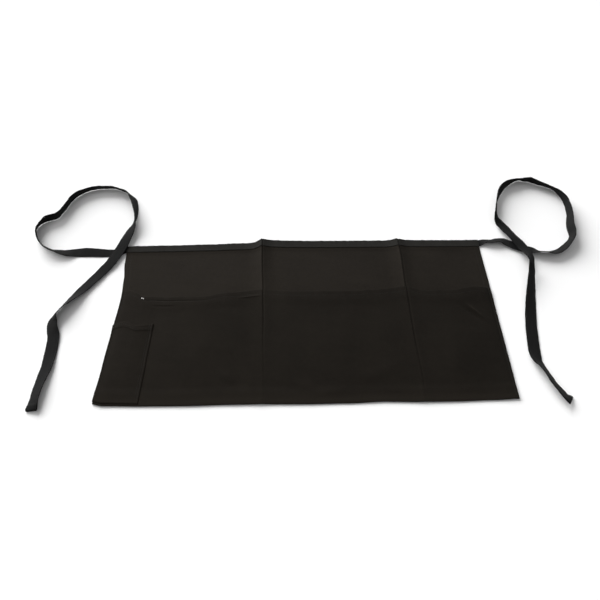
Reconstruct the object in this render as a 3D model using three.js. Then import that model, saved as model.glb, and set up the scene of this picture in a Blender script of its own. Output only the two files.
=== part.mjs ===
// Short waist apron lying flat on its back, with a full-width pocket,
// a pencil pocket and two loose tape ties.
// Millimetres, +Z up, +X to the right as the apron is looked at from its hem,
// +Y from the bottom hem to the waistband.
import * as THREE from "three";

// Driving sizes
const apronWidth = 610;
const apronHeight = 305;
const pocketDepth = 200;
const pencilWidth = 64;
const pencilHeight = 145;
const bandDepth = 15;
const tieWidth = 19;
const clothWall = 1.0;
const tapeWall = 1.0;
const tieWall = 2.0;
const seamGap = 0.3;
const sideHem = 12;
const mouthHem = 14;
const bottomTurn = 10;
const endHem = 9;
const pencilSeam = 4;
const foldSpacing = 235;
const foldRise = 5.5;
const foldReach = 24;
const mouthGape = 6.6;
const pencilGape = 6.2;

// Finer make-up of the same cloth
const hemStep = 2;
const rampLength = 8;
const mouthPlump = 0.4;
const foldPeak = 1.3;
const foldHold = 0.3;
const pencilPress = 0.75;
const endThicken = 1.5;
const neckSpans = 4;

// Spacing of the points that the cloth is drawn with
const columnPitch = 30;
const rowPitch = 34;
const bendSteps = 4;
const spanSteps = 2;

const halfWidth = apronWidth / 2;
const topLine = apronHeight / 2;
const bottomLine = -apronHeight / 2;
const foldLines = [foldSpacing - halfWidth, 2 * foldSpacing - halfWidth];

// Outline of the laid cloth: how far each side edge stands out, by height up the apron.
// up is a share of the height from the middle, left and right are shares of the width.
const sideEdges = [
  { up: -0.5, left: 0.0075, right: -0.003 },
  { up: -0.3, left: 0.0032, right: -0.0016 },
  { up: -0.1, left: -0.0004, right: -0.0005 },
  { up: 0.12, left: -0.0042, right: 0.0008 },
  { up: 0.24, left: -0.0004, right: 0.0016 },
  { up: 0.37, left: 0.0074, right: 0.0016 },
  { up: 0.5, left: 0.0105, right: 0.002 },
];

// How far the bottom edge bows down and the top edge sags down, as shares of the height.
const bottomEdge = [
  { across: -0.5, down: 0.002 },
  { across: -0.475, down: 0.012 },
  { across: -0.38, down: 0.016 },
  { across: -0.28, down: 0.0165 },
  { across: -0.19, down: 0.013 },
  { across: -0.12, down: 0.0125 },
  { across: 0, down: 0.0145 },
  { across: 0.1, down: 0.0125 },
  { across: 0.175, down: 0.0065 },
  { across: 0.27, down: 0.0105 },
  { across: 0.34, down: 0.01 },
  { across: 0.44, down: 0.0055 },
  { across: 0.5, down: 0.0005 },
];
const topEdge = [
  { across: -0.5, down: 0.022 },
  { across: -0.475, down: 0.018 },
  { across: -0.39, down: 0.015 },
  { across: -0.27, down: 0.01 },
  { across: -0.19, down: 0.0035 },
  { across: -0.145, down: 0.002 },
  { across: -0.118, down: -0.017 },
  { across: -0.085, down: -0.018 },
  { across: -0.045, down: -0.013 },
  { across: 0.02, down: -0.009 },
  { across: 0.21, down: -0.008 },
  { across: 0.25, down: -0.006 },
  { across: 0.29, down: -0.009 },
  { across: 0.33, down: -0.007 },
  { across: 0.41, down: -0.0055 },
  { across: 0.5, down: -0.004 },
];

// How much of a fold's ridge is left, by height up the apron.
const foldFade = [
  { up: -0.5, keep: 0.12 },
  { up: -0.1, keep: 0.3 },
  { up: 0.15, keep: 0.5 },
  { up: 0.5, keep: 1.0 },
];

// How far the mouth of the main pocket sags, as a share of the pocket's depth.
const mouthSag = [
  { across: -0.5, down: 0.0 },
  { across: -0.475, down: 0.0 },
  { across: -0.43, down: 0.07 },
  { across: -0.36, down: 0.085 },
  { across: -0.28, down: 0.085 },
  { across: -0.21, down: 0.045 },
  { across: -0.125, down: 0.015 },
  { across: -0.02, down: 0.04 },
  { across: 0.12, down: 0.045 },
  { across: 0.18, down: 0.03 },
  { across: 0.27, down: 0.0 },
  { across: 0.32, down: 0.045 },
  { across: 0.39, down: 0.045 },
  { across: 0.46, down: 0.005 },
  { across: 0.5, down: 0.01 },
];

// How far the pencil pocket's mouth sags across its own width, as a share of its height.
const pencilSag = [
  { across: 0.0, down: 0.082 },
  { across: 0.28, down: 0.05 },
  { across: 0.62, down: 0.043 },
  { across: 0.92, down: 0.017 },
  { across: 1.0, down: 0.0 },
];

// Tie routes, as laid: x and y from the waistband's nominal end, the tape's roll about its own line
// (0 lies flat, 90 stands its left edge up, -90 its right edge) and the lift of its lowest edge.
// Columns: x, y, roll in degrees, lift.
const leftRoute = [
  [-20, -11, 0, 0.3],
  [-37, -13, -4, 0],
  [-56, -12, -6, 0],
  [-74, -11, -6, 0],
  [-92, -11, 2, 0],
  [-104, -13, 14, 0],
  [-114, -13, 26, 0],
  [-124, -11, 40, 0],
  [-135, -9, 53, 0],
  [-146, -3, 66, 0],
  [-156, 5, 82, 0],
  [-165, 18, 95, 0],
  [-171, 33, 104, 0],
  [-173, 45, 120, 0],
  [-169, 56, 117, 0],
  [-162, 64, 106, 0],
  [-152, 68, 102, 0],
  [-143, 73, 106, 0],
  [-138, 85, 107, 0],
  [-133, 99, 106, 0],
  [-129, 114, 107, 0],
  [-122, 126, 110, 0],
  [-110, 137, 118, 0],
  [-93, 145, 121, 0],
  [-75, 147, 122, 0],
  [-55, 146, 123, 0],
  [-39, 139, 120, 0],
  [-25, 130, 112, 0],
  [-15, 118, 126, 0],
  [-8, 100, 120, 0],
  [-3, 79, 101, 0],
  [-1, 61, 80, 0.5],
  [-3, 43, 36, 2],
  [-8, 22, 13, 3.6],
  [-15, -5, 2, 4],
  [-26, -34, 4, 2.6],
  [-36, -51, 3, 1.2],
  [-46, -67, 8, 0.4],
  [-55, -81, 11, 0],
  [-64, -95, 14, 0],
  [-71, -107, 26, 0],
  [-78, -118, 37, 0],
  [-85, -130, 47, 0],
  [-91, -140, 50, 0],
  [-94, -148, 48, 0],
  [-95, -158, 24, 0],
  [-93, -169, 16, 0],
  [-88, -183, 6, 0],
  [-86, -199, 4, 0],
  [-85, -214, 4, 0],
  [-84, -236, 11, 0],
  [-86, -260, 21, 0],
  [-87, -280, 28, 0],
  [-87, -294, 26, 0],
  [-87, -308, 12, 0],
];
const rightRoute = [
  [12, 4, -26, 0.2],
  [24, 3, -31, 0],
  [36, 5, -28, 0],
  [46, 4, -14, 0],
  [56, -2, -12, 0],
  [67, -8, -8, 0],
  [78, -13, -8, 0],
  [88, -17, -8, 0],
  [97, -22, -32, 0],
  [103, -24, -47, 0],
  [113, -25, -46, 0],
  [122, -26, -38, 0],
  [131, -24, -36, 0],
  [142, -18, -43, 0],
  [154, -7, -54, 0],
  [165, 6, -67, 0],
  [170, 18, -74, 0],
  [171, 32, -71, 0],
  [175, 49, -70, 0],
  [180, 68, -80, 0],
  [182, 86, -88, 0],
  [182, 101, -93, 0],
  [178, 117, -109, 0],
  [170, 131, -123, 0],
  [162, 139, -127, 0],
  [151, 145, -121, 0],
  [140, 151, -115, 0],
  [131, 157, -112, 0],
  [121, 158, -118, 0],
  [112, 159, -126, 0],
  [98, 153, -110, 0],
  [82, 144, -85, 0],
  [68, 129, -70, 0],
  [59, 112, -74, 0],
  [52, 94, -80, 0],
  [48, 75, -76, 0],
  [46, 61, -48, 0.3],
  [49, 47, -12, 1.5],
  [55, 30, -10, 3.6],
  [61, 13, -14, 5.2],
  [68, -2, -8, 6.4],
  [74, -18, -6, 7.4],
  [77, -36, -22, 9],
  [76, -54, -44, 8],
  [75, -66, -43, 3],
  [70, -86, -37, 0],
  [62, -114, -25, 0],
  [55, -141, -14, 0],
  [48, -171, -8, 0],
  [43, -200, -6, 0],
  [40, -221, -7, 0],
  [39, -236, -22, 0],
  [43, -248, -40, 0],
  [48, -263, -42, 0],
  [53, -277, -39, 0],
  [59, -289, -36, 0],
  [64, -298, -33, 0],
  [70, -303, -18, 0],
];

// Reads a column of a table between its rows, eased so that edges run smoothly.
function along(table, key, at, column) {
  const last = table.length - 1;
  if (at <= table[0][key]) return table[0][column];
  if (at >= table[last][key]) return table[last][column];
  const next = table.findIndex((row) => row[key] > at);
  const low = table[next - 1];
  const high = table[next];
  const share = (at - low[key]) / (high[key] - low[key]);
  return low[column] + (high[column] - low[column]) * share * share * (3 - 2 * share);
}

function clampShare(value) {
  return Math.min(1, Math.max(0, value));
}

// Moves a point of the squared-up cloth to where the laid cloth has it.
function plan(x, y) {
  const across = x / apronWidth;
  const up = y / apronHeight;
  const out = x < 0 ? -along(sideEdges, "up", up, "left") : along(sideEdges, "up", up, "right");
  const drop = along(y < 0 ? bottomEdge : topEdge, "across", across, "down");
  const outShare = Math.abs(2 * across) ** 2;
  const dropShare = Math.abs(2 * up) ** 2;
  return [x + out * apronWidth * outShare, y - drop * apronHeight * dropShare];
}

// Height of the fold ridges above the surface that the apron lies on.
function ridge(x, y) {
  const fade = along(foldFade, "up", y / apronHeight, "keep");
  const rises = foldLines.map((line) => clampShare(1 - Math.abs(x - line) / foldReach) ** foldPeak);
  return foldRise * fade * Math.max(...rises);
}

// The panel rides up over the back leg of the band and over the turned-under bottom of the pocket.
function seat(y) {
  const nearBand = clampShare((y - (topLine - bandDepth - rampLength)) / rampLength);
  const nearTurn = clampShare((bottomLine + bottomTurn + 2 * rampLength - y) / rampLength);
  return Math.max((tapeWall + seamGap) * nearBand, (clothWall + seamGap) * nearTurn);
}

function panelWall(x) {
  const fromSide = halfWidth - Math.abs(x);
  return clothWall * (1 + clampShare((sideHem + hemStep - fromSide) / hemStep));
}

function panelUnder(x, y) {
  return ridge(x, y) + seat(y);
}

function panelTop(x, y) {
  return panelUnder(x, y) + panelWall(x);
}

// Share of the full gape across a bay: nothing at a sewn side, a little at a fold.
function bayShare(x) {
  const ends = [-halfWidth + sideHem / 2, ...foldLines, halfWidth - sideHem / 2];
  const bay = ends.findIndex((end, index) => index > 0 && x <= end);
  if (bay < 1 || x < ends[0]) return 0;
  const share = (x - ends[bay - 1]) / (ends[bay] - ends[bay - 1]);
  const arch = Math.sin(Math.PI * share) ** mouthPlump;
  const heldLeft = bay === 1 ? 0 : foldHold;
  const heldRight = bay === ends.length - 1 ? 0 : foldHold;
  const held = heldLeft + (heldRight - heldLeft) * share;
  return held + (1 - held) * arch;
}

// Share of the gape down a pocket, from its mouth (1) to its closed bottom (0).
function depthShare(y, mouth) {
  return clampShare((y - bottomLine - bottomTurn) / (mouth - bottomLine - bottomTurn)) ** mouthPlump;
}

// Under the pencil pocket the main pocket's front is held down by the second layer.
function pencilHold(x, y) {
  const reach = pencilWidth / 3;
  const across = clampShare((pencilWidth - halfWidth + reach - x) / reach);
  const down = clampShare((bottomLine + pencilHeight + reach - y) / reach);
  return 1 - pencilPress * across * down;
}

function mouthLine(x) {
  return bottomLine + pocketDepth * (1 - along(mouthSag, "across", x / apronWidth, "down"));
}

function pocketUnder(x, y) {
  const gape = mouthGape * bayShare(x) * depthShare(y, bottomLine + pocketDepth) * pencilHold(x, y);
  return panelTop(x, y) + seamGap + gape;
}

function pocketWall(fromMouth) {
  return clothWall * (1 + clampShare((mouthHem + hemStep - fromMouth) / hemStep));
}

// Marks across or along the cloth, with plain stations filled in between them.
function stations(marks, pitch) {
  const sorted = [...new Set(marks)].sort((a, b) => a - b);
  const list = [sorted[0]];
  for (let index = 1; index < sorted.length; index += 1) {
    const low = sorted[index - 1];
    const steps = Math.max(1, Math.round((sorted[index] - low) / pitch));
    for (let step = 1; step <= steps; step += 1) {
      list.push(low + ((sorted[index] - low) * step) / steps);
    }
  }
  return list;
}

function columns() {
  const hemMarks = [halfWidth, halfWidth - sideHem, halfWidth - sideHem - hemStep];
  const foldShares = [-1, -0.4, 0, 0.4, 1];
  const foldMarks = foldLines.flatMap((line) => foldShares.map((share) => line + share * foldReach));
  const plain = stations([...hemMarks, ...hemMarks.map((mark) => -mark), ...foldMarks], columnPitch);
  const seamEnd = pencilWidth - halfWidth;
  return [...pencilColumns(), ...plain.filter((x) => x > seamEnd + hemStep)];
}

// Stations across the pencil pocket: close together at its two seams, where it rises off the cloth below.
function pencilColumns() {
  const left = -halfWidth;
  const right = left + pencilWidth;
  const hem = left + sideHem;
  const seamMarks = [right - 2 * pencilSeam, right - pencilSeam, right];
  return stations([left, left + pencilSeam, hem, hem + hemStep, ...seamMarks], pencilWidth / 5);
}

// Direction straight out of a sheet at one of its grid points, from the points beside it.
function sheetNormal(grid, row, col) {
  const nextRow = Math.min(grid.length - 1, row + 1);
  const nextCol = Math.min(grid[row].length - 1, col + 1);
  const down = grid[nextRow][col].clone().sub(grid[Math.max(0, row - 1)][col]);
  const over = grid[row][nextCol].clone().sub(grid[row][Math.max(0, col - 1)]);
  return over.cross(down).normalize();
}

// Closed body of a sheet from its middle surface: grid[row][column] are points, wall gives the thickness.
function clothBody(grid, wall, normalAt = sheetNormal) {
  const rows = grid.length;
  const cols = grid[0].length;
  const positions = [];
  for (const side of [1, -1]) {
    for (let row = 0; row < rows; row += 1) {
      for (let col = 0; col < cols; col += 1) {
        const offset = (side * wall(row, col)) / 2;
        const point = grid[row][col].clone().addScaledVector(normalAt(grid, row, col), offset);
        positions.push(point.x, point.y, point.z);
      }
    }
  }
  const indices = [];
  const quad = (a, b, c, d) => indices.push(a, b, c, a, c, d);
  const front = (row, col) => row * cols + col;
  const back = (row, col) => rows * cols + row * cols + col;
  for (let row = 0; row < rows - 1; row += 1) {
    for (let col = 0; col < cols - 1; col += 1) {
      quad(front(row, col), front(row, col + 1), front(row + 1, col + 1), front(row + 1, col));
      quad(back(row, col), back(row + 1, col), back(row + 1, col + 1), back(row, col + 1));
    }
    quad(front(row, 0), front(row + 1, 0), back(row + 1, 0), back(row, 0));
    quad(front(row + 1, cols - 1), front(row, cols - 1), back(row, cols - 1), back(row + 1, cols - 1));
  }
  for (let col = 0; col < cols - 1; col += 1) {
    quad(front(0, col + 1), front(0, col), back(0, col), back(0, col + 1));
    quad(front(rows - 1, col), front(rows - 1, col + 1), back(rows - 1, col + 1), back(rows - 1, col));
  }
  const geometry = new THREE.BufferGeometry();
  geometry.setAttribute("position", new THREE.Float32BufferAttribute(positions, 3));
  geometry.setIndex(indices);
  geometry.computeVertexNormals();
  return geometry;
}

// Half circle of points that carries a sheet round an edge, in the plane across that edge.
function bendPath(x, centreY, highZ, lowZ, outward) {
  const radius = (highZ - lowZ) / 2;
  const path = [];
  for (let step = 1; step < bendSteps; step += 1) {
    const angle = (Math.PI * step) / bendSteps;
    path.push([x, centreY + outward * radius * Math.sin(angle), lowZ + radius * (1 + Math.cos(angle))]);
  }
  return path;
}

function placed(points) {
  return points.map(([x, y, z]) => new THREE.Vector3(...plan(x, y), z));
}

// How far inside the finished edge the fold's centre lies, for a sheet turned round the panel's edge.
function turnInset(x, wall) {
  const radius = (panelWall(x) + 2 * seamGap + wall) / 2;
  return radius + wall / 2;
}

function skirtPanel() {
  const low = bottomLine + bottomTurn;
  const high = topLine - bandDepth;
  const inner = [low + rampLength, low + 2 * rampLength, high - rampLength, high];
  const xs = columns();
  const grid = xs.map((x) => {
    const start = bottomLine + turnInset(x, clothWall);
    const end = topLine - turnInset(x, tapeWall);
    const rows = [start, ...stations(inner, rowPitch), end];
    return placed(rows.map((y) => [x, y, panelUnder(x, y) + panelWall(x) / 2]));
  });
  return clothBody(grid, (row) => panelWall(xs[row]));
}

// Stations down the pocket's front, as distances from its mouth on the squared-up cloth.
function pocketRows() {
  const turn = pocketDepth - bottomTurn;
  const marks = [0, mouthHem, mouthHem + hemStep, pocketDepth - pencilHeight, turn - 2 * rampLength];
  return [...stations(marks, rowPitch), turn - rampLength];
}

// Height up the apron of a place on the pocket's front, which sags with its mouth.
function pocketLine(x, fromMouth) {
  const centreY = bottomLine + turnInset(x, clothWall);
  const sag = (mouthLine(x) - centreY) / (bottomLine + pocketDepth - centreY);
  return centreY + (bottomLine + pocketDepth - fromMouth - centreY) * sag;
}

function pocketFront() {
  const down = pocketRows();
  const grid = columns().map((x) => {
    const centreY = bottomLine + turnInset(x, clothWall);
    const points = down.map((fromMouth) => {
      const y = pocketLine(x, fromMouth);
      return [x, y, pocketUnder(x, y) + pocketWall(fromMouth) / 2];
    });
    const highZ = pocketUnder(x, centreY) + clothWall / 2;
    const lowZ = ridge(x, centreY) + clothWall / 2;
    const turned = bottomLine + bottomTurn;
    points.push([x, centreY, highZ], ...bendPath(x, centreY, highZ, lowZ, -1), [x, centreY, lowZ]);
    points.push([x, turned, ridge(x, turned) + clothWall / 2]);
    return placed(points);
  });
  return clothBody(grid, (row, col) => (col < down.length ? pocketWall(down[col]) : clothWall));
}

// The pencil pocket is sewn down at both sides and at the bottom, and its mouth stands a little open.
function pencilPocket() {
  const topRow = pocketDepth - pencilHeight;
  const down = pocketRows().filter((fromMouth) => fromMouth >= topRow);
  const grid = pencilColumns().map((x) => {
    const across = (x + halfWidth) / pencilWidth;
    const open = clampShare((across * pencilWidth - pencilSeam) / (pencilWidth - 2 * pencilSeam));
    const arch = Math.max(0, Math.sin(Math.PI * open)) ** mouthPlump;
    const sag = pencilHeight * along(pencilSag, "across", across, "down");
    const heights = down.map((fromMouth) => pocketLine(x, fromMouth === topRow ? topRow + sag : fromMouth));
    heights.push(bottomLine + turnInset(x, clothWall));
    return placed(heights.map((y) => {
      const gape = pencilGape * arch * depthShare(y, bottomLine + pencilHeight);
      const mainTop = pocketUnder(x, y) + clothWall;
      return [x, y, mainTop + seamGap + gape + clothWall / 2];
    }));
  });
  return clothBody(grid, () => clothWall);
}

function waistband() {
  const grid = columns().map((x) => {
    const centreY = topLine - turnInset(x, tapeWall);
    const lowY = topLine - bandDepth;
    const frontZ = (y) => panelTop(x, y) + seamGap + tapeWall / 2;
    const backZ = (y) => ridge(x, y) + tapeWall / 2;
    const middleY = (centreY + lowY) / 2;
    const front = [lowY, middleY, centreY].map((y) => [x, y, frontZ(y)]);
    const back = [centreY, middleY, lowY].map((y) => [x, y, backZ(y)]);
    return placed([...front, ...bendPath(x, centreY, frontZ(centreY), backZ(centreY), 1), ...back]);
  });
  return clothBody(grid, () => tapeWall);
}

// Where a tie leaves the end of the band: side is -1 at the left end and 1 at the right.
function tieExit(side) {
  const x = side * halfWidth;
  const y = topLine - bandDepth / 2;
  const [exitX, exitY] = plan(x, y);
  const middle = (panelTop(x, y) + seamGap + tapeWall) / 2;
  return [exitX + side * seamGap, exitY, 0, middle - tieWall / 2];
}

// Smooth line through the rows of a route, all columns together.
function smoothRows(rows) {
  const first = rows[0].map((value, index) => 2 * value - rows[1][index]);
  const last = rows[rows.length - 1].map((value, index) => 2 * value - rows[rows.length - 2][index]);
  const all = [first, ...rows, last];
  const smooth = [];
  for (let span = 1; span < all.length - 2; span += 1) {
    for (let step = 0; step < spanSteps; step += 1) {
      const t = step / spanSteps;
      smooth.push(all[span].map((value, index) => {
        const before = all[span - 1][index];
        const after = all[span + 1][index];
        const beyond = all[span + 2][index];
        const slope = (after - before) / 2;
        const nextSlope = (beyond - value) / 2;
        const rise = after - value;
        const square = 3 * rise - 2 * slope - nextSlope;
        const cube = slope + nextSlope - 2 * rise;
        return value + slope * t + square * t ** 2 + cube * t ** 3;
      }));
    }
  }
  smooth.push(rows[rows.length - 1]);
  return smooth;
}

// A tie: doubled tape along its route, as wide as the band where it leaves it, with a folded end.
function tie(side, route) {
  const anchor = [side * halfWidth, topLine - bandDepth / 2];
  const laid = route.map(([x, y, roll, lift]) => [x + anchor[0], y + anchor[1], roll, lift]);
  const rows = [tieExit(side), ...laid];
  const line = smoothRows(rows);
  const last = line.length - 1;
  const wall = line.map((row) => {
    const toEnd = Math.hypot(row[0] - line[last][0], row[1] - line[last][1]);
    return toEnd < endHem ? endThicken * tieWall : tieWall;
  });
  const neck = neckSpans * spanSteps;
  const upright = [];
  const grid = line.map(([x, y, roll, lift], index) => {
    const before = line[Math.max(0, index - 1)];
    const after = line[Math.min(last, index + 1)];
    const run = index === 0 ? [side, 0] : [after[0] - before[0], after[1] - before[1]];
    const length = Math.hypot(...run);
    const angle = THREE.MathUtils.degToRad(roll);
    const level = Math.cos(angle);
    const rise = Math.sin(angle);
    const leftward = new THREE.Vector3(-run[1] / length, run[0] / length, 0);
    const edgeward = leftward.clone().multiplyScalar(level).setZ(rise);
    upright.push(leftward.clone().multiplyScalar(-rise).setZ(level));
    const reach = THREE.MathUtils.lerp(bandDepth - 2 * tapeWall, tieWidth, clampShare(index / neck)) / 2;
    const lowest = Math.max(0, lift);
    const height = lowest + reach * Math.abs(rise) + (wall[index] / 2) * Math.abs(level);
    const middle = new THREE.Vector3(x, y, height);
    return [1, 0, -1].map((edge) => middle.clone().addScaledVector(edgeward, edge * reach));
  });
  return clothBody(grid, (row) => wall[row], (points, row) => upright[row]);
}

const twill = new THREE.MeshStandardMaterial({ color: 0x23201d, roughness: 0.92, metalness: 0 });
const tape = new THREE.MeshStandardMaterial({ color: 0x212121, roughness: 0.85, metalness: 0 });

const pieces = [
  ["skirt_panel", skirtPanel(), twill],
  ["pocket_front", pocketFront(), twill],
  ["pencil_pocket", pencilPocket(), twill],
  ["waistband", waistband(), tape],
  ["tie_left", tie(-1, leftRoute), tape],
  ["tie_right", tie(1, rightRoute), tape],
];

const apron = new THREE.Group();
for (const [name, geometry, material] of pieces) {
  const mesh = new THREE.Mesh(geometry, material);
  mesh.name = name;
  apron.add(mesh);
}

export default apron;
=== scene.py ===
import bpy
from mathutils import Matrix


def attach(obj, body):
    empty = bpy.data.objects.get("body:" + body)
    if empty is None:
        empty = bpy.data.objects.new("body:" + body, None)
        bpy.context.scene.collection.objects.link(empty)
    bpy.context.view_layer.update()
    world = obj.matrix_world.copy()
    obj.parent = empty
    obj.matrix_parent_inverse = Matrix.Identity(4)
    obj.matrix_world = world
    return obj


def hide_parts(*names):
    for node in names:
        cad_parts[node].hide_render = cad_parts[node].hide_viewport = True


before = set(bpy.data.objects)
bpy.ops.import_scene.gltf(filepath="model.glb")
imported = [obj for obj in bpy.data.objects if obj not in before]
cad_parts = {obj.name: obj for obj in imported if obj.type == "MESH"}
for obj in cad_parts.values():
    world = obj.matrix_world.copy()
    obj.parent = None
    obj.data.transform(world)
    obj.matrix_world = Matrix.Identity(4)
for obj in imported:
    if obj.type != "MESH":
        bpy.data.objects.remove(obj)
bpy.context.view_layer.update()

import math

import bmesh
import bpy
import numpy as np
from mathutils import Vector

print("frame loaded")


def addObject(name, data):
    made = bpy.data.objects.new(name, data)
    bpy.context.scene.collection.objects.link(made)
    return made


# ---- camera, at the photograph's angle
view = {"place": (-0.0169, -0.4849, 0.7046), "tilt": 36.052, "turn": -0.775, "lens": 32.07, "sensor": 36.0}

cameraData = bpy.data.cameras.new("viewCamera")
cameraData.lens = view["lens"]
cameraData.sensor_width = view["sensor"]
cameraData.sensor_fit = "HORIZONTAL"
camera = addObject("viewCamera", cameraData)
camera.location = view["place"]
camera.rotation_euler = (math.radians(view["tilt"]), 0, math.radians(view["turn"]))
bpy.context.scene.camera = camera
print("camera placed")

# ---- sizes of the cloth as cut and sewn
cloth = {
    "width": 0.610, "height": 0.305, "pocketDepth": 0.200, "pencilWidth": 0.064, "pencilHeight": 0.145,
    "bandDepth": 0.015, "tieWidth": 0.019, "layer": 0.0006, "tieWall": 0.0015, "gap": 0.0001,
    "sideHem": 0.012, "mouthHem": 0.014, "bottomTurn": 0.010, "hemStep": 0.018, "ramp": 0.008,
    "pencilSeam": 0.004, "foldReach": 0.024, "foldRise": 0.0055, "mouthGape": 0.0066, "pencilGape": 0.0030,
    "thickness": 0.00054, "endHem": 0.009,
}
layer = cloth["layer"]
half = cloth["width"] / 2
topLine = cloth["height"] / 2
bottomLine = -cloth["height"] / 2

# rows of the tables below are (place, value); places across and up are shares of the width and height
leftEdge = [(-0.5, 0.0075), (-0.3, 0.0032), (-0.1, -0.0004), (0.12, -0.0042), (0.24, -0.0004),
            (0.37, 0.0074), (0.5, 0.0105)]
rightEdge = [(-0.5, -0.003), (-0.3, -0.0016), (-0.1, -0.0005), (0.12, 0.0008), (0.24, 0.0016), (0.5, 0.002)]
bottomBow = [(-0.5, 0.002), (-0.475, 0.012), (-0.38, 0.016), (-0.28, 0.0165), (-0.19, 0.013),
             (-0.12, 0.0125), (0, 0.0145), (0.1, 0.0125), (0.175, 0.0065), (0.27, 0.0105), (0.34, 0.01),
             (0.44, 0.0055), (0.5, 0.0005)]
topSag = [(-0.5, 0.022), (-0.475, 0.018), (-0.39, 0.015), (-0.27, 0.01), (-0.19, 0.0035),
          (-0.145, 0.002), (-0.118, -0.017), (-0.085, -0.018), (-0.045, -0.013), (0.02, -0.009),
          (0.21, -0.008), (0.25, -0.006), (0.29, -0.009), (0.33, -0.007), (0.41, -0.0055),
          (0.5, -0.004)]
foldFade = [(-0.5, 0.12), (-0.1, 0.3), (0.15, 0.5), (0.5, 1)]
mouthSag = [(-0.5, 0), (-0.475, 0), (-0.43, 0.07), (-0.36, 0.085), (-0.28, 0.085), (-0.21, 0.045),
            (-0.125, 0.015), (-0.02, 0.04), (0.12, 0.045), (0.18, 0.03), (0.27, 0), (0.32, 0.045),
            (0.39, 0.045), (0.46, 0.005), (0.5, 0.01)]
pencilSag = [(0, 0.082), (0.28, 0.05), (0.62, 0.043), (0.92, 0.017), (1, 0)]


def eased(rows, at):
    keys, values = np.array(rows, float).T
    at = np.clip(np.asarray(at, float), keys[0], keys[-1])
    low = np.clip(np.searchsorted(keys, at, side="right") - 1, 0, len(keys) - 2)
    share = (at - keys[low]) / (keys[low + 1] - keys[low])
    return values[low] + (values[low + 1] - values[low]) * share**2 * (3 - 2 * share)


def clampShare(value):
    return np.clip(value, 0, 1)


def plan(x, y):
    # squared-up cloth to where the laid cloth has it
    across, up = x / cloth["width"], y / cloth["height"]
    out = np.where(x < 0, -eased(leftEdge, up), eased(rightEdge, up))
    drop = np.where(y < 0, eased(bottomBow, across), eased(topSag, across))
    return x + out * cloth["width"] * (2 * across) ** 2, y - drop * cloth["height"] * (2 * up) ** 2


# ---- the two ties, made first
ties = {
    "spanSteps": 7, "neckSpans": 4, "stitchInset": 0.0021, "groove": 0.00022, "edgeWave": 0.0004,
    "endPlump": 0.8, "endRound": 0.14, "endRamp": 0.0015, "neckSlack": 0.002, "edgeRound": 0.0009, "rimStart": 0.86,
    "grooveWidth": 0.0008, "cordRib": 0.00008, "cordPitch": 0.0018, "calmEnd": 0.02,
    "leftLength": 0.879, "rightLength": 0.894,
}
# x and y from the band's nominal end, roll in degrees, lift of the lowest edge
leftRoute = [
    (-0.020, -0.011, 0, 0.0003), (-0.037, -0.013, -4, 0), (-0.056, -0.012, -6, 0), (-0.074, -0.011, -6, 0),
    (-0.092, -0.011, 2, 0), (-0.104, -0.013, 14, 0), (-0.114, -0.013, 26, 0), (-0.124, -0.011, 40, 0),
    (-0.135, -0.009, 53, 0), (-0.146, -0.003, 66, 0), (-0.156, 0.005, 82, 0), (-0.165, 0.018, 95, 0),
    (-0.171, 0.033, 104, 0), (-0.173, 0.045, 120, 0), (-0.169, 0.056, 117, 0), (-0.162, 0.064, 106, 0),
    (-0.152, 0.068, 102, 0), (-0.143, 0.073, 106, 0), (-0.138, 0.085, 107, 0), (-0.133, 0.099, 106, 0),
    (-0.129, 0.114, 107, 0), (-0.122, 0.126, 110, 0), (-0.110, 0.137, 118, 0), (-0.093, 0.145, 121, 0),
    (-0.075, 0.147, 122, 0), (-0.055, 0.146, 123, 0), (-0.039, 0.139, 120, 0), (-0.025, 0.130, 112, 0),
    (-0.015, 0.118, 126, 0), (-0.008, 0.100, 120, 0), (-0.003, 0.079, 101, 0), (-0.001, 0.061, 80, 0.0005),
    (-0.003, 0.043, 36, 0.002), (-0.008, 0.022, 13, 0.0036), (-0.015, -0.005, 2, 0.004), (-0.026, -0.034, 4, 0.0026),
    (-0.036, -0.051, 3, 0.0012), (-0.046, -0.067, 8, 0.0004), (-0.055, -0.081, 11, 0), (-0.064, -0.095, 14, 0),
    (-0.071, -0.107, 26, 0), (-0.078, -0.118, 37, 0), (-0.085, -0.130, 47, 0), (-0.091, -0.140, 50, 0),
    (-0.094, -0.148, 48, 0), (-0.095, -0.158, 24, 0), (-0.093, -0.169, 16, 0), (-0.088, -0.183, 6, 0),
    (-0.086, -0.199, 4, 0), (-0.085, -0.214, 4, 0), (-0.084, -0.236, 11, 0), (-0.086, -0.260, 21, 0),
    (-0.087, -0.280, 28, 0), (-0.087, -0.294, 26, 0), (-0.087, -0.308, 12, 0),
]
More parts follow.
